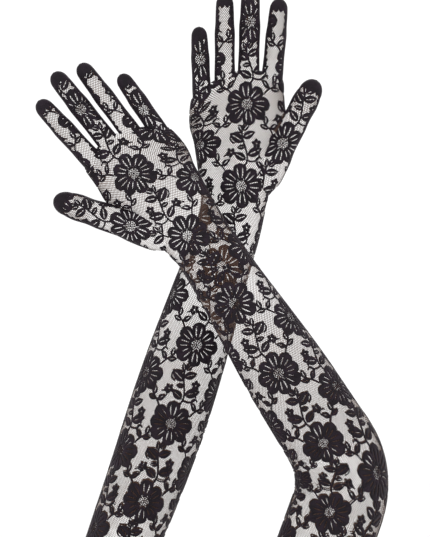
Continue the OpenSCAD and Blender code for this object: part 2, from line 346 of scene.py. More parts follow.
@dataclass
class Drawing:
    """A flat triangle mesh: points across and along the cloth in millimetres."""

    points: np.ndarray = field(default_factory=lambda: np.zeros((0, 2)))
    faces: np.ndarray = field(default_factory=lambda: np.zeros((0, 3), int))

    def clipped(self, values: np.ndarray) -> "Drawing":
        """Keep the part where the values at the points are positive.

        Args:
            values: one number for each point.
        Returns:
            The drawing, cut along the line where the values are zero.
        """
        inside = values > 0
        count = inside[self.faces].sum(1)
        kept = [self.faces[count == 3]]
        edges, cut_faces = [], []
        for wanted, state in ((1, True), (2, False)):
            part = self.faces[count == wanted]
            odd = np.argmax(inside[part] == state, axis=1)
            turned = part[np.arange(len(part))[:, None], (odd[:, None] + np.arange(3)) % 3]
            edges.append(turned)
            cut_faces.append(turned)
        first, second = cut_faces
        pairs = np.concatenate([first[:, [0, 1]], first[:, [0, 2]], second[:, [0, 1]], second[:, [0, 2]]])
        if len(pairs) == 0:
            return self.tidied(kept[0])
        unique, where = np.unique(np.sort(pairs, axis=1), axis=0, return_inverse=True)
        where = where.reshape(-1)
        low, high = values[unique[:, 0]], values[unique[:, 1]]
        share = (low / (low - high))[:, None]
        new = self.points[unique[:, 0]] * (1 - share) + self.points[unique[:, 1]] * share
        start = len(self.points)
        k, m = len(first), len(second)
        ab, ac = where[:k] + start, where[k:2 * k] + start
        bb, bc = where[2 * k:2 * k + m] + start, where[2 * k + m:] + start
        kept.append(np.stack([first[:, 0], ab, ac], 1))
        kept.append(np.stack([bb, second[:, 1], second[:, 2]], 1))
        kept.append(np.stack([bb, second[:, 2], bc], 1))
        return Drawing(np.concatenate([self.points, new]), self.faces).tidied(np.concatenate(kept))

    def tidied(self, faces: np.ndarray) -> "Drawing":
        """The drawing with these faces and only the points they use."""
        used, faces = np.unique(faces, return_inverse=True)
        return Drawing(self.points[used], faces.reshape(-1, 3))

    def moved(self, turn: float, place: tuple[float, float], scale: float = 1.0,
              flip: bool = False) -> "Drawing":
        """A turned, scaled and moved copy, mirrored first if flip is set. The turn is in degrees."""
        c, s = math.cos(math.radians(turn)) * scale, math.sin(math.radians(turn)) * scale
        points = self.points * ((-1, 1) if flip else (1, 1))
        return Drawing(points @ np.array([[c, s], [-s, c]]) + np.array(place), self.faces)

    def area(self) -> float:
        """Area in square millimetres."""
        a, b, c = (self.points[self.faces[:, i]] for i in range(3))
        d, e = b - a, c - a
        return float(np.abs(d[:, 0] * e[:, 1] - d[:, 1] * e[:, 0]).sum() / 2)


def joined(drawings: list[Drawing]) -> Drawing:
    """Several drawings as one."""
    faces, start = [], 0
    for drawing in drawings:
        faces.append(drawing.faces + start)
        start += len(drawing.points)
    return Drawing(np.concatenate([d.points for d in drawings]), np.concatenate(faces))


def strip(lines: list[np.ndarray]) -> Drawing:
    """The surface between lines of points, each line as long as the next."""
    n = len(lines[0])
    i, j = np.meshgrid(np.arange(len(lines) - 1), np.arange(n - 1), indexing="ij")
    a = (i * n + j).reshape(-1)
    faces = np.concatenate([np.stack([a, a + 1, a + n + 1], 1), np.stack([a, a + n + 1, a + n], 1)])
    return Drawing(np.concatenate(lines), faces)


def bezier(points: list[tuple[float, float]], count: int) -> np.ndarray:
    """Points along a cubic curve with four control points."""
    t = np.linspace(0, 1, count)[:, None]
    a, b, c, d = (np.array(p, float) for p in points)
    return a * (1 - t) ** 3 + b * 3 * t * (1 - t) ** 2 + c * 3 * t * t * (1 - t) + d * t ** 3


@dataclass(frozen=True)
class Lace:
    """The repeating pattern of eight-petalled flowers, paired leaves, sprigs, loops and buds."""

    column: float = 39.0
    repeat: float = 70.0
    flower: float = 18.9
    petals: int = 8
    heart: float = 4.4
    petal_half: float = 5.55
    widest: float = 0.66
    vein: float = 0.5
    stem: float = 0.6
    cell_reach: tuple = (30.0, 62.0, 24.0)

    def petal(self, length: float, half: float) -> Drawing:
        """A rounded petal along +Y with two slits that run towards the heart."""
        t = np.linspace(0, 1, 11)
        swell = 0.26 + 0.74 * np.sin(np.pi / 2 * np.clip(t / self.widest, 0, 1))
        round_end = np.sqrt(np.clip(1 - ((t - self.widest) / (1 - self.widest)) ** 2, 0, 1))
        width = half * np.where(t < self.widest, swell, np.maximum(round_end, 0.05))
        slit = self.vein * np.clip(np.minimum(t - 0.14, 0.74 - t) * 9, 0, 1)
        y = t * length
        parts = []
        for sign in (1, -1):
            split = width * 0.40
            for inner, outer in ((0 * t, split - slit), (split + slit, width)):
                parts.append(strip([np.stack([inner * sign, y], 1), np.stack([outer * sign, y], 1)]))
        return joined(parts)

    def leaf(self, length: float, half: float, vein: float) -> Drawing:
        """A pointed leaf along +Y, with a slit along its middle unless vein is zero."""
        t = np.linspace(0, 1, 9)
        width = half * np.sin(np.pi * t ** 0.85) ** 0.85 + 0.02
        slit = vein * np.clip(np.minimum(t - 0.14, 0.84 - t) * 10, 0, 1)
        slit = np.minimum(slit, width * 0.6)
        y = t * length
        return joined([strip([np.stack([slit * s, y], 1), np.stack([width * s, y], 1)]) for s in (1, -1)])

    def ribbon(self, curve: np.ndarray, half: float) -> Drawing:
        """A narrow ribbon along a curve."""
        along = np.gradient(curve, axis=0)
        along /= np.linalg.norm(along, axis=1)[:, None]
        across = np.stack([-along[:, 1], along[:, 0]], 1) * half
        return strip([curve - across, curve + across])

    def ring(self, inner: float, outer: float, count: int, place: tuple[float, float] = (0, 0)) -> Drawing:
        """A flat ring."""
        a = np.linspace(0, 2 * np.pi, count + 1)
        turn = np.stack([np.cos(a), np.sin(a)], 1)
        return strip([turn * inner + place, turn * outer + place])

    def blossom(self) -> Drawing:
        """The large flower: eight petals round a heart with rings of small holes."""
        parts = [self.ring(0.05, 0.9, 8)]
        for radius, count, half in ((1.9, 7, 0.46), (3.35, 11, 0.5), (4.75, 15, 0.52)):
            for k in range(count):
                b = 2 * math.pi * k / count + radius
                parts.append(self.ring(0.02, half + 0.14, 6, (radius * math.cos(b), radius * math.sin(b))))
        for k in range(self.petals):
            turn = 360 / self.petals * k + 9 + 3 * math.sin(1.7 * k)
            size = 1 + 0.06 * math.sin(2.3 * k + 0.6)
            a = math.radians(turn)
            parts.append(self.petal((self.flower - self.heart) * size, self.petal_half * size)
                         .moved(turn, (-self.heart * math.sin(a), self.heart * math.cos(a))))
        return joined(parts)

    def bud(self) -> Drawing:
        """A small rosette of five round petals."""
        parts = [self.ring(0.9, 1.7, 10)]
        for k in range(5):
            a = math.radians(72 * k)
            parts.append(self.leaf(3.9, 1.75, 0).moved(72 * k, (-1.2 * math.sin(a), 1.2 * math.cos(a))))
        return joined(parts)

    def sprig(self) -> Drawing:
        """A short stem with small leaves and a looped tendril."""
        small = self.leaf(8.0, 2.35, 0.42)
        stem = bezier([(-6.5, -7), (-1, 2), (1, -3), (6, 8)], 9)
        loop = bezier([(-1, -1), (-12, 2), (-8, 12), (-2.5, 7)], 11)
        parts = [self.ribbon(stem, self.stem), self.ribbon(loop, self.stem * 0.8)]
        for turn, place in ((34, (-2.5, -1.5)), (-78, (-0.5, -1.2)), (-4, (2.6, 1.6)), (-56, (4.6, 5.2))):
            parts.append(small.moved(turn, place))
        return joined(parts)

    def spray(self) -> Drawing:
        """The stem between two flowers of a column, with paired leaves, hooked tendrils and buds."""
        big = self.leaf(14.0, 3.9, self.vein)
        less = self.leaf(11.6, 3.3, self.vein * 0.9)
        small = self.leaf(7.2, 2.1, 0.34)
        stem = bezier([(1.5, 17), (9, 27), (-8, 41), (-1, 54)], 14)
        hook = bezier([(2.5, 22), (15, 18), (17, 31), (9, 31)], 11)
        coil = bezier([(-2, 45), (-14, 48), (-15, 37), (-8, 36)], 11)
        parts = [self.ribbon(stem, self.stem * 1.2), self.ribbon(hook, self.stem),
                 self.ribbon(coil, self.stem)]
        for piece, turn, place in (
            (less, 62, (2.2, 22.5)), (big, -62, (3.4, 26.5)), (big, 60, (-0.8, 37.5)),
            (less, -60, (-1.6, 41.0)), (small, 26, (-2.6, 46.0)), (small, -34, (-1.4, 47.0)),
            (small, 100, (1.0, 33.6)),
        ):
            parts.append(piece.moved(turn, place))
        parts.append(self.bud().moved(10, (10.4, 37.0), 0.86))
        parts.append(self.bud().moved(40, (-10.8, 28.0), 0.86))
        return joined(parts)

    def cell(self) -> Drawing:
        """All the work of one repeat, round its flower."""
        sprig = self.sprig()
        return joined([self.blossom(), self.spray(), sprig.moved(6, (19.6, 17.6)),
                       sprig.moved(-4, (-19.6, 17.4), flip=True)])

    def spread(self, low: tuple[float, float], high: tuple[float, float],
               shift: tuple[float, float]) -> Drawing:
        """The pattern over a rectangle.

        Args:
            low: the rectangle's lower left corner, across and along.
            high: its upper right corner.
            shift: the place of one flower.
        Returns:
            Every repeat that reaches into the rectangle.
        """
        cell = self.cell()
        aside, above, below = self.cell_reach
        parts = []
        first = math.floor((low[0] - shift[0] - aside) / self.column)
        last = math.ceil((high[0] - shift[0] + aside) / self.column)
        for i in range(first, last + 1):
            x = shift[0] + i * self.column
            drop = self.repeat / 2 if i % 2 else 0.0
            for j in range(math.floor((low[1] - shift[1] - above) / self.repeat) - 1,
                           math.ceil((high[1] - shift[1] + above) / self.repeat) + 1):
                y = shift[1] + j * self.repeat + drop
                if (y + above > low[1] and y - below < high[1]
                        and x + aside > low[0] and x - aside < high[0]):
                    parts.append(cell.moved(0, (x, y)))
        return joined(parts) if parts else Drawing()


# ---------------------------------------------------------------- tubes


def eased(x: np.ndarray, knots: np.ndarray, values: np.ndarray) -> np.ndarray:
    """Smooth values between knots that never overshoot them."""
    step, rise = np.diff(knots), np.diff(values)
    slope = rise / step
    before, after = slope[:-1], slope[1:]
    total = np.where(after + before == 0, 1, after + before)
    inner = np.where(after * before > 0, 2 * after * before / total, 0)
    tangent = np.concatenate([slope[:1], inner, slope[-1:]])
    i = np.clip(np.searchsorted(knots, x, side="right") - 1, 0, len(step) - 1)
    t = np.clip((x - knots[i]) / step[i], 0, 1)
    return (values[i] * (2 * t ** 3 - 3 * t ** 2 + 1) + values[i + 1] * (3 * t ** 2 - 2 * t ** 3)
            + step[i] * (tangent[i] * (t ** 3 - 2 * t ** 2 + t) + tangent[i + 1] * (t ** 3 - t ** 2)))


@dataclass(frozen=True)
class Section:
    """A cross-section: station, edges across, half depth, squareness and share of the knuckle arch."""

    at: float
    low: float
    high: float
    depth: float
    square: float = 2.0
    bow: float = 0.0


class Spine:
    """A line in the glove's plane with rounded corners, measured along its straight runs."""

    def __init__(self, corners: list[np.ndarray], rounding: list[float], thumb: int, plane: float) -> None:
        """Keep the corners.

        Args:
            corners: places (x, z) in millimetres.
            rounding: how far each inner corner's curve reaches along both runs.
            thumb: 1 if the thumb is on the +X side, -1 if on the other.
            plane: the plane's y.
        """
        self.corners = corners
        self.rounding = rounding
        self.thumb = thumb
        self.plane = plane
        runs = np.diff(np.array(corners), axis=0)
        self.lengths = np.linalg.norm(runs, axis=1)
        self.ways = runs / self.lengths[:, None]
        self.starts = np.concatenate([[0], np.cumsum(self.lengths)])

    def at(self, s: np.ndarray) -> tuple[np.ndarray, np.ndarray]:
        """Place and direction at each station."""
        run = np.clip(np.searchsorted(self.starts, s, side="right") - 1, 0, len(self.ways) - 1)
        place = np.array(self.corners)[run] + self.ways[run] * (s - self.starts[run])[:, None]
        way = self.ways[run].copy()
        for k, reach in enumerate(self.rounding, 1):
            near = np.abs(s - self.starts[k]) < reach
            t = ((s[near] - self.starts[k] + reach) / (2 * reach))[:, None]
            before, after = self.ways[k - 1] * reach, self.ways[k] * reach
            place[near] = self.corners[k] - before * (1 - t) ** 2 + after * t ** 2
            bent = before * (1 - t) + after * t
            way[near] = bent / np.linalg.norm(bent, axis=1)[:, None]
        return place, way


class Tube:
    """A tube of cloth on a spine. Across is counted from the middle of the palm side."""

    steps = 24

    def __init__(self, spine: Spine, sections: list[Section], shift: tuple[float, float] = (0.0, 0.0),
                 crown: float = 0.0, arch: float = 0.0) -> None:
        """Work out the tube's tables.

        Args:
            spine: its middle line.
            sections: its cross-sections in order.
            shift: where its own zero lies on the cloth's pattern.
            crown: the place across of the knuckle arch's top.
            arch: how fast the arch falls away from there.
        """
        self.spine, self.shift, self.crown, self.arch = spine, shift, crown, arch
        knots = np.array([s.at for s in sections], float)
        self.first, self.last = float(knots[0]), float(knots[-1])
        count = max(8, int((self.last - self.first) / 0.75) + 1)
        self.q = np.linspace(self.first, self.last, count)
        low, high, depth, square, bow = (
            eased(self.q, knots, np.array([getattr(s, name) for s in sections], float))
            for name in ("low", "high", "depth", "square", "bow"))
        self.centre, self.width, self.depth = (low + high) / 2, (high - low) / 2, depth
        self.square, self.bow = square, bow
        self.width_slope, self.depth_slope = np.gradient(self.width, self.q), np.gradient(depth, self.q)
        a = np.linspace(0, np.pi / 2, 121)[None, :]
        power = (2 / square)[:, None]
        x, y = self.width[:, None] * np.sin(a) ** power, depth[:, None] * np.cos(a) ** power
        pieces = np.hypot(np.diff(x), np.diff(y))
        arc = np.concatenate([np.zeros((count, 1)), np.cumsum(pieces, axis=1)], axis=1)
        self.quarter = arc[:, -1]
        share = np.linspace(0, 1, self.steps + 1)
        self.x, self.y = np.zeros((count, self.steps + 1)), np.zeros((count, self.steps + 1))
        for i in range(count):
            part = arc[i] / max(arc[i, -1], 1e-9)
            self.x[i], self.y[i] = np.interp(share, part, x[i]), np.interp(share, part, y[i])

    def of(self, q: np.ndarray, values: np.ndarray) -> np.ndarray:
        """A property's value at each station."""
        return np.interp(q, self.q, values)

    def fraction(self, across: np.ndarray, q: np.ndarray) -> np.ndarray:
        """Pattern places across as shares of the way from the front's middle to a side."""
        return (across - self.shift[0] - self.of(q, self.centre)) / self.of(q, self.quarter)

    def table(self, values: np.ndarray, f: np.ndarray, q: np.ndarray) -> np.ndarray:
        """Values from a table over station and share."""
        i = np.clip((q - self.first) / (self.last - self.first), 0, 1) * (len(self.q) - 1)
        j = np.clip(f, 0, 1) * self.steps
        i0, j0 = np.minimum(i.astype(int), len(self.q) - 2), np.minimum(j.astype(int), self.steps - 1)
        a, b = i - i0, j - j0
        return ((values[i0, j0] * (1 - b) + values[i0, j0 + 1] * b) * (1 - a)
                + (values[i0 + 1, j0] * (1 - b) + values[i0 + 1, j0 + 1] * b) * a)

    def place(self, f: np.ndarray, q: np.ndarray, back: bool,
              lift: float = 0.0) -> tuple[np.ndarray, np.ndarray]:
        """Wrap flat places on the tube.

        Args:
            f: share of the way from the front's middle to a side, from -1 to 1.
            q: station.
            back: True for the back of the glove.
            lift: height above the net, in millimetres.
        Returns:
            The places in space in millimetres, and the outward directions.
        """
        x = self.table(self.x, np.abs(f), q) * np.sign(f)
        y = self.table(self.y, np.abs(f), q) * (1 if back else -1)
        w, d = np.maximum(self.of(q, self.width), 0.05), np.maximum(self.of(q, self.depth), 0.05)
        out = np.stack([x / w ** 2, y / d ** 2, -(x ** 2 * self.of(q, self.width_slope) / w ** 3
                                                  + y ** 2 * self.of(q, self.depth_slope) / d ** 3)], 1)
        out /= np.maximum(np.linalg.norm(out, axis=1), 1e-9)[:, None]
        u = x + self.of(q, self.centre)
        v = q - self.of(q, self.bow) * self.arch * (u - self.crown) ** 2
        base, way = self.spine.at(v)
        side = np.stack([way[:, 1], -way[:, 0]], 1) * self.spine.thumb
        flat = base + side * u[:, None]
        outward = np.stack([side[:, 0] * out[:, 0] + way[:, 0] * out[:, 2], out[:, 1],
                            side[:, 1] * out[:, 0] + way[:, 1] * out[:, 2]], 1)
        points = np.stack([flat[:, 0], self.spine.plane + y, flat[:, 1]], 1)
        return points + outward * lift, outward

    def outside(self, points: np.ndarray) -> np.ndarray:
        """Positive for places in space outside the tube's last run, negative inside it."""
        base, way = self.spine.corners[-2], self.spine.ways[-1]
        gap = points[:, [0, 2]] - base
        v = gap @ way + self.spine.starts[-2]
        u = (gap[:, 0] * way[1] - gap[:, 1] * way[0]) * self.spine.thumb
        q = v.copy()
        for _ in range(3):
            q = v + self.of(q, self.bow) * self.arch * (u - self.crown) ** 2
        n = self.of(q, self.square)
        w, d = np.maximum(self.of(q, self.width), 0.05), np.maximum(self.of(q, self.depth), 0.05)
        away = np.abs(points[:, 1] - self.spine.plane)
        value = (np.abs(u - self.of(q, self.centre)) / w) ** n + (away / d) ** n - 1
        beyond = np.maximum(q - self.last, self.first - q) / 4
        return np.clip(np.maximum(value, beyond), -1, 3)

    def grid(self, start: float, end: float, step: float, columns: int) -> Drawing:
        """A flat grid in shares across and stations along."""
        rows = max(2, int(round((end - start) / step)) + 1)
        q = np.linspace(start, end, rows)
        f = np.linspace(-1, 1, columns + 1)
        return strip([np.stack([f, np.full_like(f, v)], 1) for v in q])


# ---------------------------------------------------------------- building pieces


def deselect() -> None:
    """Leave nothing selected."""
    bpy.ops.object.select_all(action="DESELECT")


def make_mesh(name: str, points: np.ndarray, faces: np.ndarray, outward: np.ndarray, flat: np.ndarray,
              side: np.ndarray) -> bpy.types.Object:
    """A mesh object from wrapped triangles.

    Args:
        name: the object's name.
        points: places in millimetres.
        faces: triangles.
        outward: outward direction at each point.
        flat: place of each point on the flat cloth, in millimetres.
        side: nearness of each point to a side of the glove, from 0 to 1; it sets the net's painted shade at the
            sides.
    Returns:
        The object, with a UV map in metres and its doubles merged.
    """
    a, b, c = (points[faces[:, i]] for i in range(3))
    normal = np.cross(b - a, c - a)
    size = np.linalg.norm(normal, axis=1)
    faces, normal = faces[size > 1e-5], normal[size > 1e-5]
    wrong = (normal * outward[faces].sum(1)).sum(1) < 0
    faces[wrong] = faces[wrong][:, ::-1]
    mesh = bpy.data.meshes.new(name)
    mesh.from_pydata((points * MM).tolist(), [], faces.tolist())
    uv = mesh.uv_layers.new(name="cloth")
    uv.data.foreach_set("uv", (flat[faces.reshape(-1)] * MM).astype(np.float32).reshape(-1))
    attribute = mesh.attributes.new("side", "FLOAT", "POINT")
    attribute.data.foreach_set("value", side.astype(np.float32))
    made = bmesh.new()
    made.from_mesh(mesh)
    bmesh.ops.remove_doubles(made, verts=made.verts, dist=0.02 * MM)
    bmesh.ops.dissolve_degenerate(made, dist=0.004 * MM, edges=made.edges)
    loose = [v for v in made.verts if not v.link_faces]
    bmesh.ops.delete(made, geom=loose, context="VERTS")
    made.to_mesh(mesh)
    made.free()
    return shown(mesh)


def shown(mesh: bpy.types.Mesh) -> bpy.types.Object:
    """A smooth object of that mesh and name, in the scene."""
    mesh.polygons.foreach_set("use_smooth", [True] * len(mesh.polygons))
    obj = bpy.data.objects.new(mesh.name, mesh)
    bpy.context.scene.collection.objects.link(obj)
    return obj


def thicken(obj: bpy.types.Object, thickness: float) -> None:
    """Give a sheet its thickness outwards, in millimetres."""
    deselect()
    obj.select_set(True)
    bpy.context.view_layer.objects.active = obj
    solid = obj.modifiers.new("thickness", "SOLIDIFY")
    solid.thickness = thickness * MM
    solid.offset = 1.0
    bpy.ops.object.modifier_apply(modifier=solid.name)


def area_of(obj: bpy.types.Object) -> float:
    """Area of an object's faces in square metres."""
    return sum(p.area for p in obj.data.polygons)


class Part(Enum):
    """The layers a stretch of glove is made of."""

    NET = "net"
    WORK = "lace"
    SEAM = "overlock"


@dataclass
class Stretch:
    """A stretch of glove between two stations of one tube, and how it moves."""

    name: str
    tube: Tube
    start: float
    end: float
    bodies: tuple[str, ...]
    bend: tuple = ()
    away_from: tuple = ()
    replaced: tuple = ()
    step: float = 3.0
    columns: int = 28
    closed_tip: bool = False
    narrow: bool = False


@dataclass
class Stitch:
    """One overlock loop, modelled once: a bent ring of thread."""

    long: float = 1.5
    wide: float = 2.4
    thread: float = 0.2
    pitch: float = 1.7
    droop: float = 0.35
    slant: float = 0.35

    def shape(self) -> tuple[np.ndarray, np.ndarray]:
        """The loop's points and faces: x along the seam, y across it, z outwards."""
        deselect()
        bpy.ops.mesh.primitive_torus_add(major_segments=10, minor_segments=4, major_radius=1.0,
                                         minor_radius=self.thread)
        obj = bpy.context.active_object
        bpy.ops.object.mode_set(mode="EDIT")
        bpy.ops.mesh.select_all(action="SELECT")
        bpy.ops.transform.resize(value=(self.long / 2, self.wide / 2, 1.0))
        bpy.ops.object.mode_set(mode="OBJECT")
        points = np.array([v.co for v in obj.data.vertices], float)
        faces = np.array([p.vertices for p in obj.data.polygons], int)
        bpy.data.objects.remove(obj)
        points[:, 2] += -self.droop * (points[:, 1] / (self.wide / 2)) ** 2
        points[:, 0] += self.slant * points[:, 1]
        return points, faces


class SeamMaker:
    """Lays stitches along a line on a tube."""

    def __init__(self, stitch: Stitch, material: bpy.types.Material) -> None:
        """Model the stitch once."""
        self.stitch = stitch
        self.points, self.faces = stitch.shape()
        self.material = material

    def lay(self, name: str, places: np.ndarray, outward: np.ndarray, lift: float = 0.35) -> bpy.types.Object:
        """A chain of stitches.

        Args:
            name: the object's name.
            places: points of the line, close together, in millimetres.
            outward: outward direction at each of them.
            lift: height of the stitches above the line.
        Returns:
            The seam's object.
        """
        gone = np.concatenate([[0], np.cumsum(np.linalg.norm(np.diff(places, axis=0), axis=1))])
        count = max(2, int(gone[-1] / self.stitch.pitch))
        at = (np.arange(count) + 0.5) * gone[-1] / count
        spots = np.stack([np.interp(at, gone, places[:, k]) for k in range(3)], 1)
        out = np.stack([np.interp(at, gone, outward[:, k]) for k in range(3)], 1)
        along = np.gradient(spots, axis=0)
        along /= np.linalg.norm(along, axis=1)[:, None]
        out -= along * (out * along).sum(1)[:, None]
        out /= np.linalg.norm(out, axis=1)[:, None]
        across = np.cross(out, along)
        basis = np.stack([along, across, out], 1)
        points = np.einsum("pk,nkj->npj", self.points, basis) + (spots + out * lift)[:, None, :]
        faces = self.faces[None] + (np.arange(count) * len(self.points))[:, None, None]
        mesh = bpy.data.meshes.new(name)
        mesh.from_pydata((points.reshape(-1, 3) * MM).tolist(), [], faces.reshape(-1, 4).tolist())
        obj = shown(mesh)
        obj.data.materials.append(self.material)
        return obj


@dataclass
class Hem:
    """The folded cuff hem with its double row of stitches."""

    radius: float = 39.0
    height: float = 14.0
    outer: float = 42.1
    ply: float = 0.55
    segments: int = 96
    stitch_rows: tuple = (12.2, 10.2)
    stitches: int = 110

    def band(self, name: str) -> bpy.types.Object:
        """The folded band, upright round the origin."""
        profile = ((self.radius + 0.3, self.height - 0.1), (self.radius + 0.25, 9.0), (self.radius + 0.3, 3.0),
                   (self.radius + 0.7, 0.9), (self.radius + 1.7, 0.35), (self.outer - 0.5, 0.9),
                   (self.outer - 0.05, 2.6), (self.outer - 0.1, 6.0), (self.outer - 0.05, 9.4),
                   (self.outer - 0.55, 10.2), (self.outer - 0.2, 11.2), (self.outer - 0.65, 12.2),
                   (self.outer - 0.4, 13.0), (self.outer - 0.9, self.height - 0.1))
        deselect()
        bpy.ops.mesh.primitive_circle_add(vertices=self.segments, radius=profile[0][0] * MM,
                                          location=(0, 0, profile[0][1] * MM))
        band = bpy.context.active_object
        band.name = name
        bpy.ops.object.mode_set(mode="EDIT")
        bpy.ops.mesh.select_all(action="SELECT")
        for (r0, z0), (r1, z1) in zip(profile, profile[1:]):
            bpy.ops.mesh.extrude_edges_move(TRANSFORM_OT_translate={"value": (0, 0, (z1 - z0) * MM)})
            bpy.ops.transform.resize(value=(r1 / r0, r1 / r0, 1), center_override=(0, 0, z1 * MM))
        bpy.ops.mesh.select_all(action="SELECT")
        bpy.ops.mesh.normals_make_consistent(inside=False)
        bpy.ops.object.mode_set(mode="OBJECT")
        bpy.ops.object.transform_apply(location=True, rotation=True, scale=True)
        solid = band.modifiers.new("ply", "SOLIDIFY")
        solid.thickness, solid.offset = self.ply * MM, 0.0
        bpy.ops.object.modifier_apply(modifier=solid.name)
        uv = band.data.uv_layers.new(name="cloth")
        for loop in band.data.loops:
            x, y, z = band.data.vertices[loop.vertex_index].co
            uv.data[loop.index].uv = (math.atan2(y, x) * self.radius * MM, z)
        attribute = band.data.attributes.new("side", "FLOAT", "POINT")
        attribute.data.foreach_set("value", np.ones(len(band.data.vertices), np.float32))
        band.data.polygons.foreach_set("use_smooth", [True] * len(band.data.polygons))
        return band

    def stitching(self, name: str) -> bpy.types.Object:
        """Two rows of separate stitches, upright round the origin."""
        deselect()
        bpy.ops.mesh.primitive_uv_sphere_add(segments=8, ring_count=5, radius=0.3 * MM)
        one = bpy.context.active_object
        bpy.ops.object.mode_set(mode="EDIT")
        bpy.ops.mesh.select_all(action="SELECT")
        bpy.ops.transform.resize(value=(0.9, 3.2, 0.9))
        bpy.ops.object.mode_set(mode="OBJECT")
        points = np.array([v.co for v in one.data.vertices], float)
        faces = [list(p.vertices) for p in one.data.polygons]
        bpy.data.objects.remove(one)
        all_points, all_faces = [], []
        for row, height in enumerate(self.stitch_rows):
            for k in range(self.stitches):
                a = 2 * math.pi * (k + 0.5 * row) / self.stitches
                turn = np.array([[math.cos(a), math.sin(a), 0], [-math.sin(a), math.cos(a), 0], [0, 0, 1]])
                place = np.array([math.cos(a), math.sin(a), 0]) * (self.outer - 0.3) * MM + (0, 0, height * MM)
                start = len(all_points) * len(points)
                all_points.append(points @ turn + place)
                all_faces += [[i + start for i in f] for f in faces]
        mesh = bpy.data.meshes.new(name)
        mesh.from_pydata(np.concatenate(all_points).tolist(), [], all_faces)
        return shown(mesh)


@dataclass(frozen=True)
class Cloth:
    """The finishes that every glove shares."""

    net: bpy.types.Material
    doubled: bpy.types.Material
    work: bpy.types.Material
    thread: bpy.types.Material
    elastic: bpy.types.Material


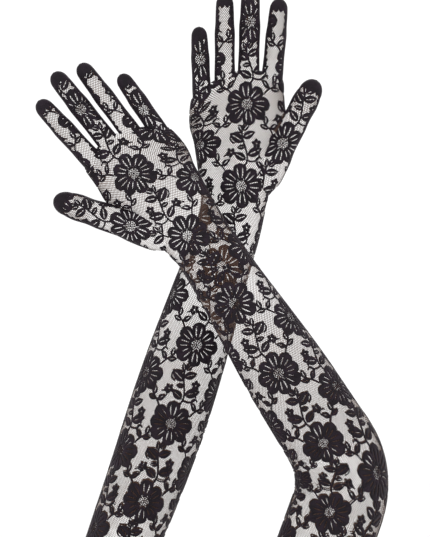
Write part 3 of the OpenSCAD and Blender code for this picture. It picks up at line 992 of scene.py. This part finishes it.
@dataclass
class Glove:
    """One glove. Sizes are in millimetres, across the glove towards the thumb and along it."""

    side: str
    cloth: Cloth
    lace: Lace
    seams: SeamMaker
    hem: Hem
    pattern_shift: tuple = (0.0, 0.0)
    upper: tuple = (30.0, 38.0)
    elbow: tuple = (33.0, 35.0)
    forearm: tuple = (34.0, 31.0)
    wrist: tuple = (27.0, 20.0)
    cuff: float = 39.8
    finger_half: tuple = (8.6, 8.7, 8.3, 7.5)
    finger_length: tuple = (69.0, 76.0, 73.0, 57.0)
    finger_across: tuple = (24.4, 4.3, -15.5, -34.1)
    finger_flat: float = 0.92
    middle_joint: float = 0.53
    tip_share: float = 0.84
    hand_length: float = 118.0
    crown: float = 8.3
    arch: float = 0.01057
    thumb_length: float = 89.0
    thumb_first: float = 45.0
    elbow_round: float = 45.0
    wrist_round: float = 25.0
    work_lift: float = 0.12
    work_height: float = 0.4
    net_height: float = 0.2
    stretch: float = 1.12
    joint_reach: float = 8.0
    side_strip: tuple = (5.5, 0.8, 5.2)
    tip_cap: tuple = (9.0, 2.4, 4.2)

    def __post_init__(self) -> None:
        """Read the glove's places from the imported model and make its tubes."""
        self.thumb_way = 1 if self.side == "right" else -1
        joints = {j["name"]: j for j in frame["joints"]}
        mounts = {m["name"]: m for m in frame["record"]["mounts"]}
        cuff = mounts[f"{self.side}_cuff"]["pos_m"]
        self.plane = cuff[1] / MM
        flat = lambda p: np.array([p[0], p[2]]) / MM
        upward = lambda axis: np.array([-axis[2], axis[0]]) / math.hypot(axis[0], axis[2])
        joint = lambda name: joints[f"{self.side}_{name}"]
        self.cuff_at = flat(cuff)
        self.elbow_at, self.wrist_at = (flat(joint(name)["pos_m"]) for name in ("elbow", "wrist"))
        hand_way = upward(joint("wrist")["axis"])
        self.spine = Spine([self.cuff_at, self.elbow_at, self.wrist_at, self.wrist_at + hand_way * 160],
                           [self.elbow_round, self.wrist_round], self.thumb_way, self.plane)
        self.elbow_q, self.wrist_q = self.spine.starts[1], self.spine.starts[2]
        self.body = Tube(self.spine, self.body_sections(), crown=self.crown, arch=self.arch)
        self.finger_tubes, self.finger_places = [], []
        for k, name in enumerate(FINGERS):
            root = joint(f"{name}_root_bend")
            way, at = upward(root["axis"]), flat(root["pos_m"])
            self.finger_places.append((at, way))
            spine = Spine([at - way * 20, at + way * 100], [], self.thumb_way, self.plane)
            spine.starts = spine.starts - 20
            knuckle = self.hand_length - self.arch * (self.finger_across[k] - self.crown) ** 2
            shift = (self.finger_across[k], self.wrist_q + knuckle)
            self.finger_tubes.append(Tube(spine, self.finger_sections(k), shift))
        bend = joint("thumb_root_bend")
        way = upward(bend["axis"])
        foot = flat(bend["pos_m"]) - way * self.thumb_first
        self.thumb_place = (foot, way)
        spine = Spine([foot - way * 40, foot + way * 120], [], self.thumb_way, self.plane)
        spine.starts = spine.starts - 40
        self.thumb = Tube(spine, self.thumb_sections(), (44.0, self.wrist_q + 30))

    def body_sections(self) -> list[Section]:
        """Cross-sections of the arm and the hand, from the cuff to the knuckles."""
        e, w = self.elbow_q, self.wrist_q
        run = w - e
        even = lambda at, size, square=2.0: Section(at, -size[0], size[0], size[1], square)
        between = lambda t: tuple(b + (f - b) * t for b, f in zip(self.wrist, self.forearm))
        middle = tuple((a + b) / 2 for a, b in zip(self.upper, self.elbow))
        return [
            even(0.0, (self.cuff, self.cuff)), even(self.hem.height, (self.cuff, self.cuff)),
            even(e * 0.38, self.upper), even(e * 0.68, middle), even(e, self.elbow),
            even(e + run * 0.2, self.forearm), even(e + run * 0.42, between(0.86)),
            even(e + run * 0.66, between(0.46)), even(e + run * 0.86, between(0.1)), even(w, self.wrist),
            Section(w + 18, -29, 28, 18.2, 2.0), Section(w + 34, -32.5, 27.5, 16.6, 2.15),
            Section(w + 59, -37.2, 28, 15.2, 2.3, 0.15), Section(w + 80, -41.1, 36.5, 13.8, 2.5, 0.5),
            Section(w + 90, -42.2, 38.5, 13.2, 2.6, 0.7), Section(w + 102, -43.0, 36.5, 12.5, 2.9, 0.9),
            Section(w + 112, -43.2, 35.2, 11.0, 3.2, 1.0), Section(w + 117, -43.0, 34.8, 8.8, 3.4, 1.0),
            Section(w + 120, -42.6, 34.4, 5.6, 3.6, 1.0), Section(w + 121.6, -42.0, 33.8, 2.4, 3.6, 1.0),
            Section(w + 122.2, -41.5, 33.4, 0.15, 3.6, 1.0),
        ]

    def dome(self, half: float, length: float, flatness: float) -> list[Section]:
        """The rounded end of a finger tube of that half width and length."""
        reach = half * 1.3
        turns = [math.radians(turn) for turn in (0, 14, 28, 42, 54, 65, 74, 82, 88.5)]
        top = math.sin(turns[-1])
        sections = []
        for a in turns:
            w = half * math.cos(a)
            sections.append(Section(length - reach + reach * math.sin(a) / top, -w, w, w * flatness))
        return sections

    def finger_sections(self, k: int) -> list[Section]:
        """Cross-sections of a finger: wider at the root and at the middle joint."""
        w, length, flatness = self.finger_half[k], self.finger_length[k], self.finger_flat
        plan = ((-14, 0.93), (-4, 0.99), (4, 1.0), (length * 0.3, 0.955), (length * self.middle_joint, 0.985),
                (length * 0.68, 0.9), (length * 0.76, 0.885))
        sections = [Section(at, -w * share, w * share, w * share * flatness) for at, share in plan]
        return sections + self.dome(w * self.tip_share, length, flatness)

    def thumb_sections(self) -> list[Section]:
        """Cross-sections of the thumb, from inside the palm to its tip."""
        plan = ((-30, 1.5), (-22, 6.5), (-12, 11.2), (0, 13.6), (14, 13.2), (30, 11.4), (45, 11.3), (57, 10.5),
                (67, 10.9), (74, 10.2))
        sections = [Section(at, -w, w, w * 0.94) for at, w in plan]
        return sections + self.dome(9.6, self.thumb_length, 0.92)

    # ---- wrapping

    def keep(self, drawing: Drawing, stretch: Stretch, back: bool, shares: bool) -> Drawing:
        """Cut a drawing to a stretch of glove.

        Args:
            drawing: places as shares across and stations, or as places on the pattern.
            stretch: the stretch to keep.
            back: True for the back of the glove.
            shares: True if the drawing holds shares across.
        Returns:
            What lies in the stretch and outside the tubes that cut into it.
        """
        tube = stretch.tube
        if not shares:
            for sign in (1, -1):
                q = drawing.points[:, 1] - tube.shift[1]
                drawing = drawing.clipped(sign * (q - (stretch.start if sign > 0 else stretch.end)))
            q = drawing.points[:, 1] - tube.shift[1]
            inside = 1 - np.abs(tube.fraction(drawing.points[:, 0], q))
            drawing = drawing.clipped(inside * tube.of(q, tube.quarter))
        for other in stretch.away_from:
            if len(drawing.faces):
                f, q = self.shares_of(drawing, tube, shares)
                drawing = drawing.clipped(other.outside(tube.place(f, q, back)[0]))
        return drawing

    @staticmethod
    def shares_of(drawing: Drawing, tube: Tube, shares: bool) -> tuple[np.ndarray, np.ndarray]:
        """Shares across and stations of a drawing's points."""
        if shares:
            return drawing.points[:, 0], drawing.points[:, 1]
        q = drawing.points[:, 1] - tube.shift[1]
        return np.clip(tube.fraction(drawing.points[:, 0], q), -1, 1), q

    def wrap(self, name: str, drawing: Drawing, stretch: Stretch, shares: bool,
             lift: float) -> bpy.types.Object:
        """Wrap a drawing on the front and the back of a stretch, as one mesh."""
        tube = stretch.tube
        rows, start = [], 0
        for back in (False, True):
            part = self.keep(drawing, stretch, back, shares)
            f, q = self.shares_of(part, tube, shares)
            points, outward = tube.place(f, q, back, lift)
            across = f * tube.of(q, tube.quarter) + tube.of(q, tube.centre) + tube.shift[0]
            flat = np.stack([across, q + tube.shift[1]], 1)
            # Nearness to a side, which sets the net's painted shade there.
            side = np.abs(f) ** (4 if stretch.narrow else 6)
            rows.append((points, part.faces + start, outward, flat, side))
            start += len(points)
        return make_mesh(name, *(np.concatenate(r) for r in zip(*rows)))

    def work_drawing(self, stretch: Stretch) -> Drawing:
        """The lace pattern over a stretch, with a dense strip along each side of a finger and a dense tip."""
        tube = stretch.tube
        reach = float(tube.of(np.array([stretch.start, stretch.end]), tube.quarter).max()) + 4
        if not stretch.narrow:
            reach = float(tube.quarter.max()) + 4
        low = (tube.shift[0] - reach, tube.shift[1] + stretch.start)
        high = (tube.shift[0] + reach, tube.shift[1] + stretch.end)
        parts = [self.lace.spread(low, high, self.pattern_shift)]
        if stretch.narrow:
            q = np.arange(stretch.start, stretch.end + 0.7, 0.7)
            middle, edge = tube.of(q, tube.centre), tube.of(q, tube.quarter)
            wide, swing, pitch = self.side_strip
            wave = wide + swing * np.sin(2 * np.pi * q / pitch)
            for sign in (1, -1):
                across = [middle + sign * np.maximum(edge - wave * k, 0) + tube.shift[0]
                          for k in (1.0, 0.5, -0.2)]
                parts.append(strip([np.stack([x, q + tube.shift[1]], 1) for x in across]))
        if stretch.closed_tip:
            f = np.linspace(-1.02, 1.02, 29)
            depth, swing, pitch = self.tip_cap
            edge = float(tube.of(np.array([stretch.end - 11]), tube.quarter)[0])
            scallop = swing * np.abs(np.sin(np.pi * f * edge / pitch))
            lines = []
            for k in np.linspace(0, 1, 12):
                q = stretch.end - (depth + scallop) * (1 - k)
                lines.append(np.stack([f * tube.of(q, tube.quarter) + tube.of(q, tube.centre) + tube.shift[0],
                                       q + tube.shift[1]], 1))
            parts.append(strip(lines))
        return joined(parts)

    # ---- pieces

    def fasten(self, obj: bpy.types.Object, stretch: Stretch) -> None:
        """Attach a piece to its stretch's one body; a piece over two bodies is only baked in place."""
        if len(stretch.bodies) == 2:
            self.spot(stretch.bend[0])
            self.spot(stretch.bend[1])
            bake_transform(obj)
        else:
            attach(obj, f"{self.side}_{stretch.bodies[0]}")

    def spot(self, place: np.ndarray) -> tuple[float, float, float]:
        """A place in the glove's plane, in metres in space."""
        return (float(place[0]) * MM, self.plane * MM, float(place[1]) * MM)

    def net_piece(self, stretch: Stretch) -> bpy.types.Object:
        """The net of a stretch."""
        name = f"{self.side}_{stretch.name}_{Part.NET.value}"
        grid = stretch.tube.grid(stretch.start, stretch.end, stretch.step, stretch.columns)
        obj = self.wrap(name, grid, stretch, True, 0.0)
        obj.data.materials.append(self.cloth.net)
        if stretch.closed_tip:
            thicken(obj, self.net_height)
        area = area_of(obj) / self.stretch / (2 if stretch.closed_tip else 1)
        length = (stretch.end - stretch.start) * MM / 1.05
        area / length / 0.85
        cloths = [n for n in stretch.replaced if "seam" not in n and "sides" not in n]
        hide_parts(*(f"{self.side}_{n}" for n in cloths))
        self.fasten(obj, stretch)
        return obj

    def work_piece(self, stretch: Stretch) -> bpy.types.Object:
        """The raised lace work of a stretch."""
        name = f"{self.side}_{stretch.name}_{Part.WORK.value}"
        obj = self.wrap(name, self.work_drawing(stretch), stretch, False, self.work_lift)
        thicken(obj, self.work_height)
        obj.data.materials.append(self.cloth.work)
        sides = [f"{self.side}_{n}" for n in stretch.replaced if "sides" in n]
        if sides:
            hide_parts(*sides)
        self.fasten(obj, stretch)
        return obj

    def seam_piece(self, stretch: Stretch, name: str, share: float, start: float, end: float,
                   node: str) -> bpy.types.Object:
        """An overlocked seam along one side of a stretch.

        Args:
            stretch: the stretch that it lies on.
            name: what the seam is called.
            share: its place across, from -1 to 1.
            start: its first station.
            end: its last station.
            node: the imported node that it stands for.
        Returns:
            The seam's object.
        """
        q = np.arange(start, end, 0.8)
        f = np.full_like(q, share)
        places, outward = stretch.tube.place(f, q, False)
        seam = self.seams.lay(f"{self.side}_{name}_{Part.SEAM.value}", places, outward)
        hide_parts(f"{self.side}_{node}")
        self.fasten(seam, stretch)
        return seam

    def bend(self, foot: np.ndarray, way: np.ndarray, at: float) -> tuple[np.ndarray, np.ndarray]:
        """Two places on a finger's line, a joint's reach before and after a joint that far from the foot."""
        return foot + way * (at - self.joint_reach), foot + way * (at + self.joint_reach)

    def stretches(self) -> list[Stretch]:
        """Every stretch of the glove, each across one joint at most."""
        e, w = self.elbow_q, self.wrist_q
        ways = self.spine.ways
        middle = e + (w - e) * 0.45
        hand_start = w + 20
        elbow_bend = (self.elbow_at - ways[0] * self.elbow_round, self.elbow_at + ways[1] * self.elbow_round)
        wrist_bend = (self.wrist_at - ways[1] * 30, self.wrist_at + ways[2] * 12)
        fingers = tuple(self.finger_tubes)
        made = [
            Stretch("sleeve", self.body, 11.0, middle, ("upper", "forearm"), elbow_bend, (),
                    ("upper_sleeve", "upper_seam")),
            Stretch("forearm", self.body, middle, hand_start, ("forearm", "hand"), wrist_bend, (),
                    ("forearm_sleeve", "forearm_seam")),
            Stretch("hand", self.body, hand_start, self.body.last, ("hand",), (), fingers + (self.thumb,),
                    ("palm_panel", "back_panel", "side_seam"), 1.5, 56),
            Stretch("thumb_base", self.thumb, -29.5, 34.0, ("hand",), (), (self.body,),
                    ("thumb_base", "thumb_seam"), 1.5, 24),
        ]
        foot, way = self.thumb_place
        second = self.thumb_first + (self.thumb_length - self.thumb_first) * 0.47
        split = (self.thumb_first + second) / 2
        made.append(Stretch("thumb_lower", self.thumb, 34.0, split, ("hand", "thumb_lower"),
                            self.bend(foot, way, self.thumb_first), (), ("thumb_root",), 1.5, 24, False, True))
        made.append(Stretch("thumb_upper", self.thumb, split, self.thumb.last, ("thumb_lower", "thumb_upper"),
                            self.bend(foot, way, second), (), ("thumb_tip",), 1.2, 24, True, True))
        for k, name in enumerate(FINGERS):
            tube, (at, way) = self.finger_tubes[k], self.finger_places[k]
            joint = self.finger_length[k] * self.middle_joint
            lower, upper = f"{name}_lower", f"{name}_upper"
            made.append(Stretch(lower, tube, -13.5, joint * 0.5, ("hand", lower), (at - way * 4, at + way * 10),
                                (self.body,), (f"{name}_root", f"{name}_root_sides"), 1.5, 20, False, True))
            made.append(Stretch(upper, tube, joint * 0.5, tube.last, (lower, upper), self.bend(at, way, joint), (),
                                (f"{name}_tip", f"{name}_tip_sides"), 1.2, 20, True, True))
        return made

    def seam_plan(self, stretch: Stretch) -> list[tuple[str, float, float, float, str]]:
        """The seams on a stretch: name, share across, start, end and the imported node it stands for."""
        if stretch.name == "sleeve":
            return [("sleeve", -1.0, stretch.start + 4, stretch.end, "upper_seam")]
        if stretch.name == "forearm":
            return [("forearm", -1.0, stretch.start, stretch.end, "forearm_seam")]
        if stretch.name == "hand":
            return [("side", -1.0, stretch.start, self.wrist_q + 108, "side_seam")]
        if stretch.name == "thumb_base":
            return [("thumb", 1.0, -6.0, stretch.end, "thumb_seam")]
        return []

    def build_hem(self) -> None:
        """The cuff's folded hem, its stitches, and a finish for the elastic inside."""
        way = self.spine.ways[0]
        turn = Matrix.Rotation(math.atan2(way[0], way[1]), 4, "Y")
        place = Matrix.Translation(self.spot(self.cuff_at)) @ turn
        band, rows = self.hem.band(f"{self.side}_hem"), self.hem.stitching(f"{self.side}_hem_stitches")
        for obj in (band, rows):
            obj.data.transform(place)
        band.data.materials.append(self.cloth.doubled)
        rows.data.materials.append(self.cloth.thread)
        area = area_of(band) / 2 / self.stretch
        around = 2 * math.pi * self.hem.outer * MM
        length = around / self.stretch
        area / length * 1.02
        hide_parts(f"{self.side}_cuff_hem")
        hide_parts(f"{self.side}_hem_stitching")
        for obj in (band, rows):
            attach(obj, f"{self.side}_upper")
        elastic = frame["nodes"][f"{self.side}_cuff_elastic"]
        elastic.data.materials.clear()
        elastic.data.materials.append(self.cloth.elastic)
        LOG.info("%s hem: %d faces", self.side, len(band.data.polygons))

    def build(self) -> None:
        """Make every piece of the glove."""
        for stretch in self.stretches():
            work = self.work_piece(stretch)
            seams = [self.seam_piece(stretch, *plan) for plan in self.seam_plan(stretch)]
            net = self.net_piece(stretch)
            faces = [len(obj.data.polygons) for obj in (net, work)]
            LOG.info("%s: net %d faces, work %d faces", net.name, *faces)
        self.build_hem()


# ---------------------------------------------------------------- studio


@dataclass
class Studio:
    """Camera, soft lights and pale floor. Sizes are in metres."""

    middle: tuple = (0.1046, 0.3005)
    height: float = 0.4565
    distance: float = 8.0
    sensor: float = 36.0
    floor_half: float = 7.0
    floor_gap: float = 0.02

    def build_camera(self) -> None:
        """A level camera with a long lens, square to the palms."""
        data = bpy.data.cameras.new("camera")
        camera = bpy.data.objects.new("camera", data)
        bpy.context.scene.collection.objects.link(camera)
        data.sensor_width = self.sensor
        data.lens = self.sensor * self.distance / self.height
        data.clip_start, data.clip_end = 0.05, 50
        camera.location = (self.middle[0], -self.distance, self.middle[1])
        camera.rotation_euler = (math.pi / 2, 0, 0)
        bpy.context.scene.camera = camera

    def build_light(self, name: str, place: tuple, size: float, power: float) -> None:
        """A soft square light that faces the gloves."""
        data = bpy.data.lights.new(name, "AREA")
        data.size, data.energy = size, power
        light = bpy.data.objects.new(name, data)
        light.location = place
        aim = Vector((self.middle[0], 0, self.middle[1])) - Vector(place)
        light.rotation_euler = aim.to_track_quat("-Z", "Y").to_euler()
        bpy.context.scene.collection.objects.link(light)

    def build_floor(self, low: float) -> None:
        """A pale floor just under the lowest cuff."""
        deselect()
        bpy.ops.mesh.primitive_plane_add(size=2 * self.floor_half, location=(0, 0, low - self.floor_gap))
        floor = bpy.context.active_object
        floor.name = "studio_floor"
        bpy.ops.object.mode_set(mode="EDIT")
        bpy.ops.mesh.select_all(action="SELECT")
        bpy.ops.mesh.subdivide(number_cuts=4)
        bpy.ops.object.mode_set(mode="OBJECT")
        bpy.ops.object.transform_apply(location=True)
        floor.data.materials.append(Paper().material())
        floor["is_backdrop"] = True

    def build_world(self) -> None:
        """Even white surroundings."""
        world = bpy.data.worlds.new("studio")
        world.use_nodes = True
        back = world.node_tree.nodes["Background"]
        back.inputs["Color"].default_value = (1, 1, 1, 1)
        back.inputs["Strength"].default_value = 1.1
        bpy.context.scene.world = world
        bpy.context.scene.view_settings.view_transform = "Standard"
        bpy.context.scene.cycles.transparent_max_bounces = 32

    def build(self, low: float) -> None:
        """Make the whole studio for an object whose lowest point is at low."""
        self.build_camera()
        self.build_light("key", (-1.2, -2.0, 1.9), 1.6, 24)
        self.build_light("fill", (1.8, -1.6, 0.7), 1.8, 12)
        self.build_light("rim", (0.4, 1.8, 1.6), 1.4, 18)
        self.build_floor(low)
        self.build_world()


def main() -> None:
    """Build both gloves and the studio."""
    logging.basicConfig(level=logging.INFO, format="%(message)s")
    doubled = Net("doubled_net", pitch=0.8 * MM, thread=0.34 * MM, edge_gain=0.2, dark=(0.006, 0.004, 0.006),
                  warm=(0.018, 0.011, 0.015))
    cloth = Cloth(*(finish.material() for finish in (Net(), doubled, Satin(), Thread(), Elastic())))
    lace, hem = Lace(), Hem()
    LOG.info("lace work covers %.2f of the cloth", lace.cell().area() / (lace.column * lace.repeat))
    seams = SeamMaker(Stitch(), cloth.thread)
    right = Glove("right", cloth, lace, seams, hem, pattern_shift=(4.8, 461.5))
    left = Glove("left", cloth, lace, seams, hem, pattern_shift=(5.4, 453.4), upper=(39.5, 34.5),
                 elbow=(39.0, 34.0), forearm=(37.0, 30.0), elbow_round=34.0)
    for glove in (right, left):
        glove.build()
    Studio().build(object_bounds()[0].z)


if __name__ == "__main__":
    main()
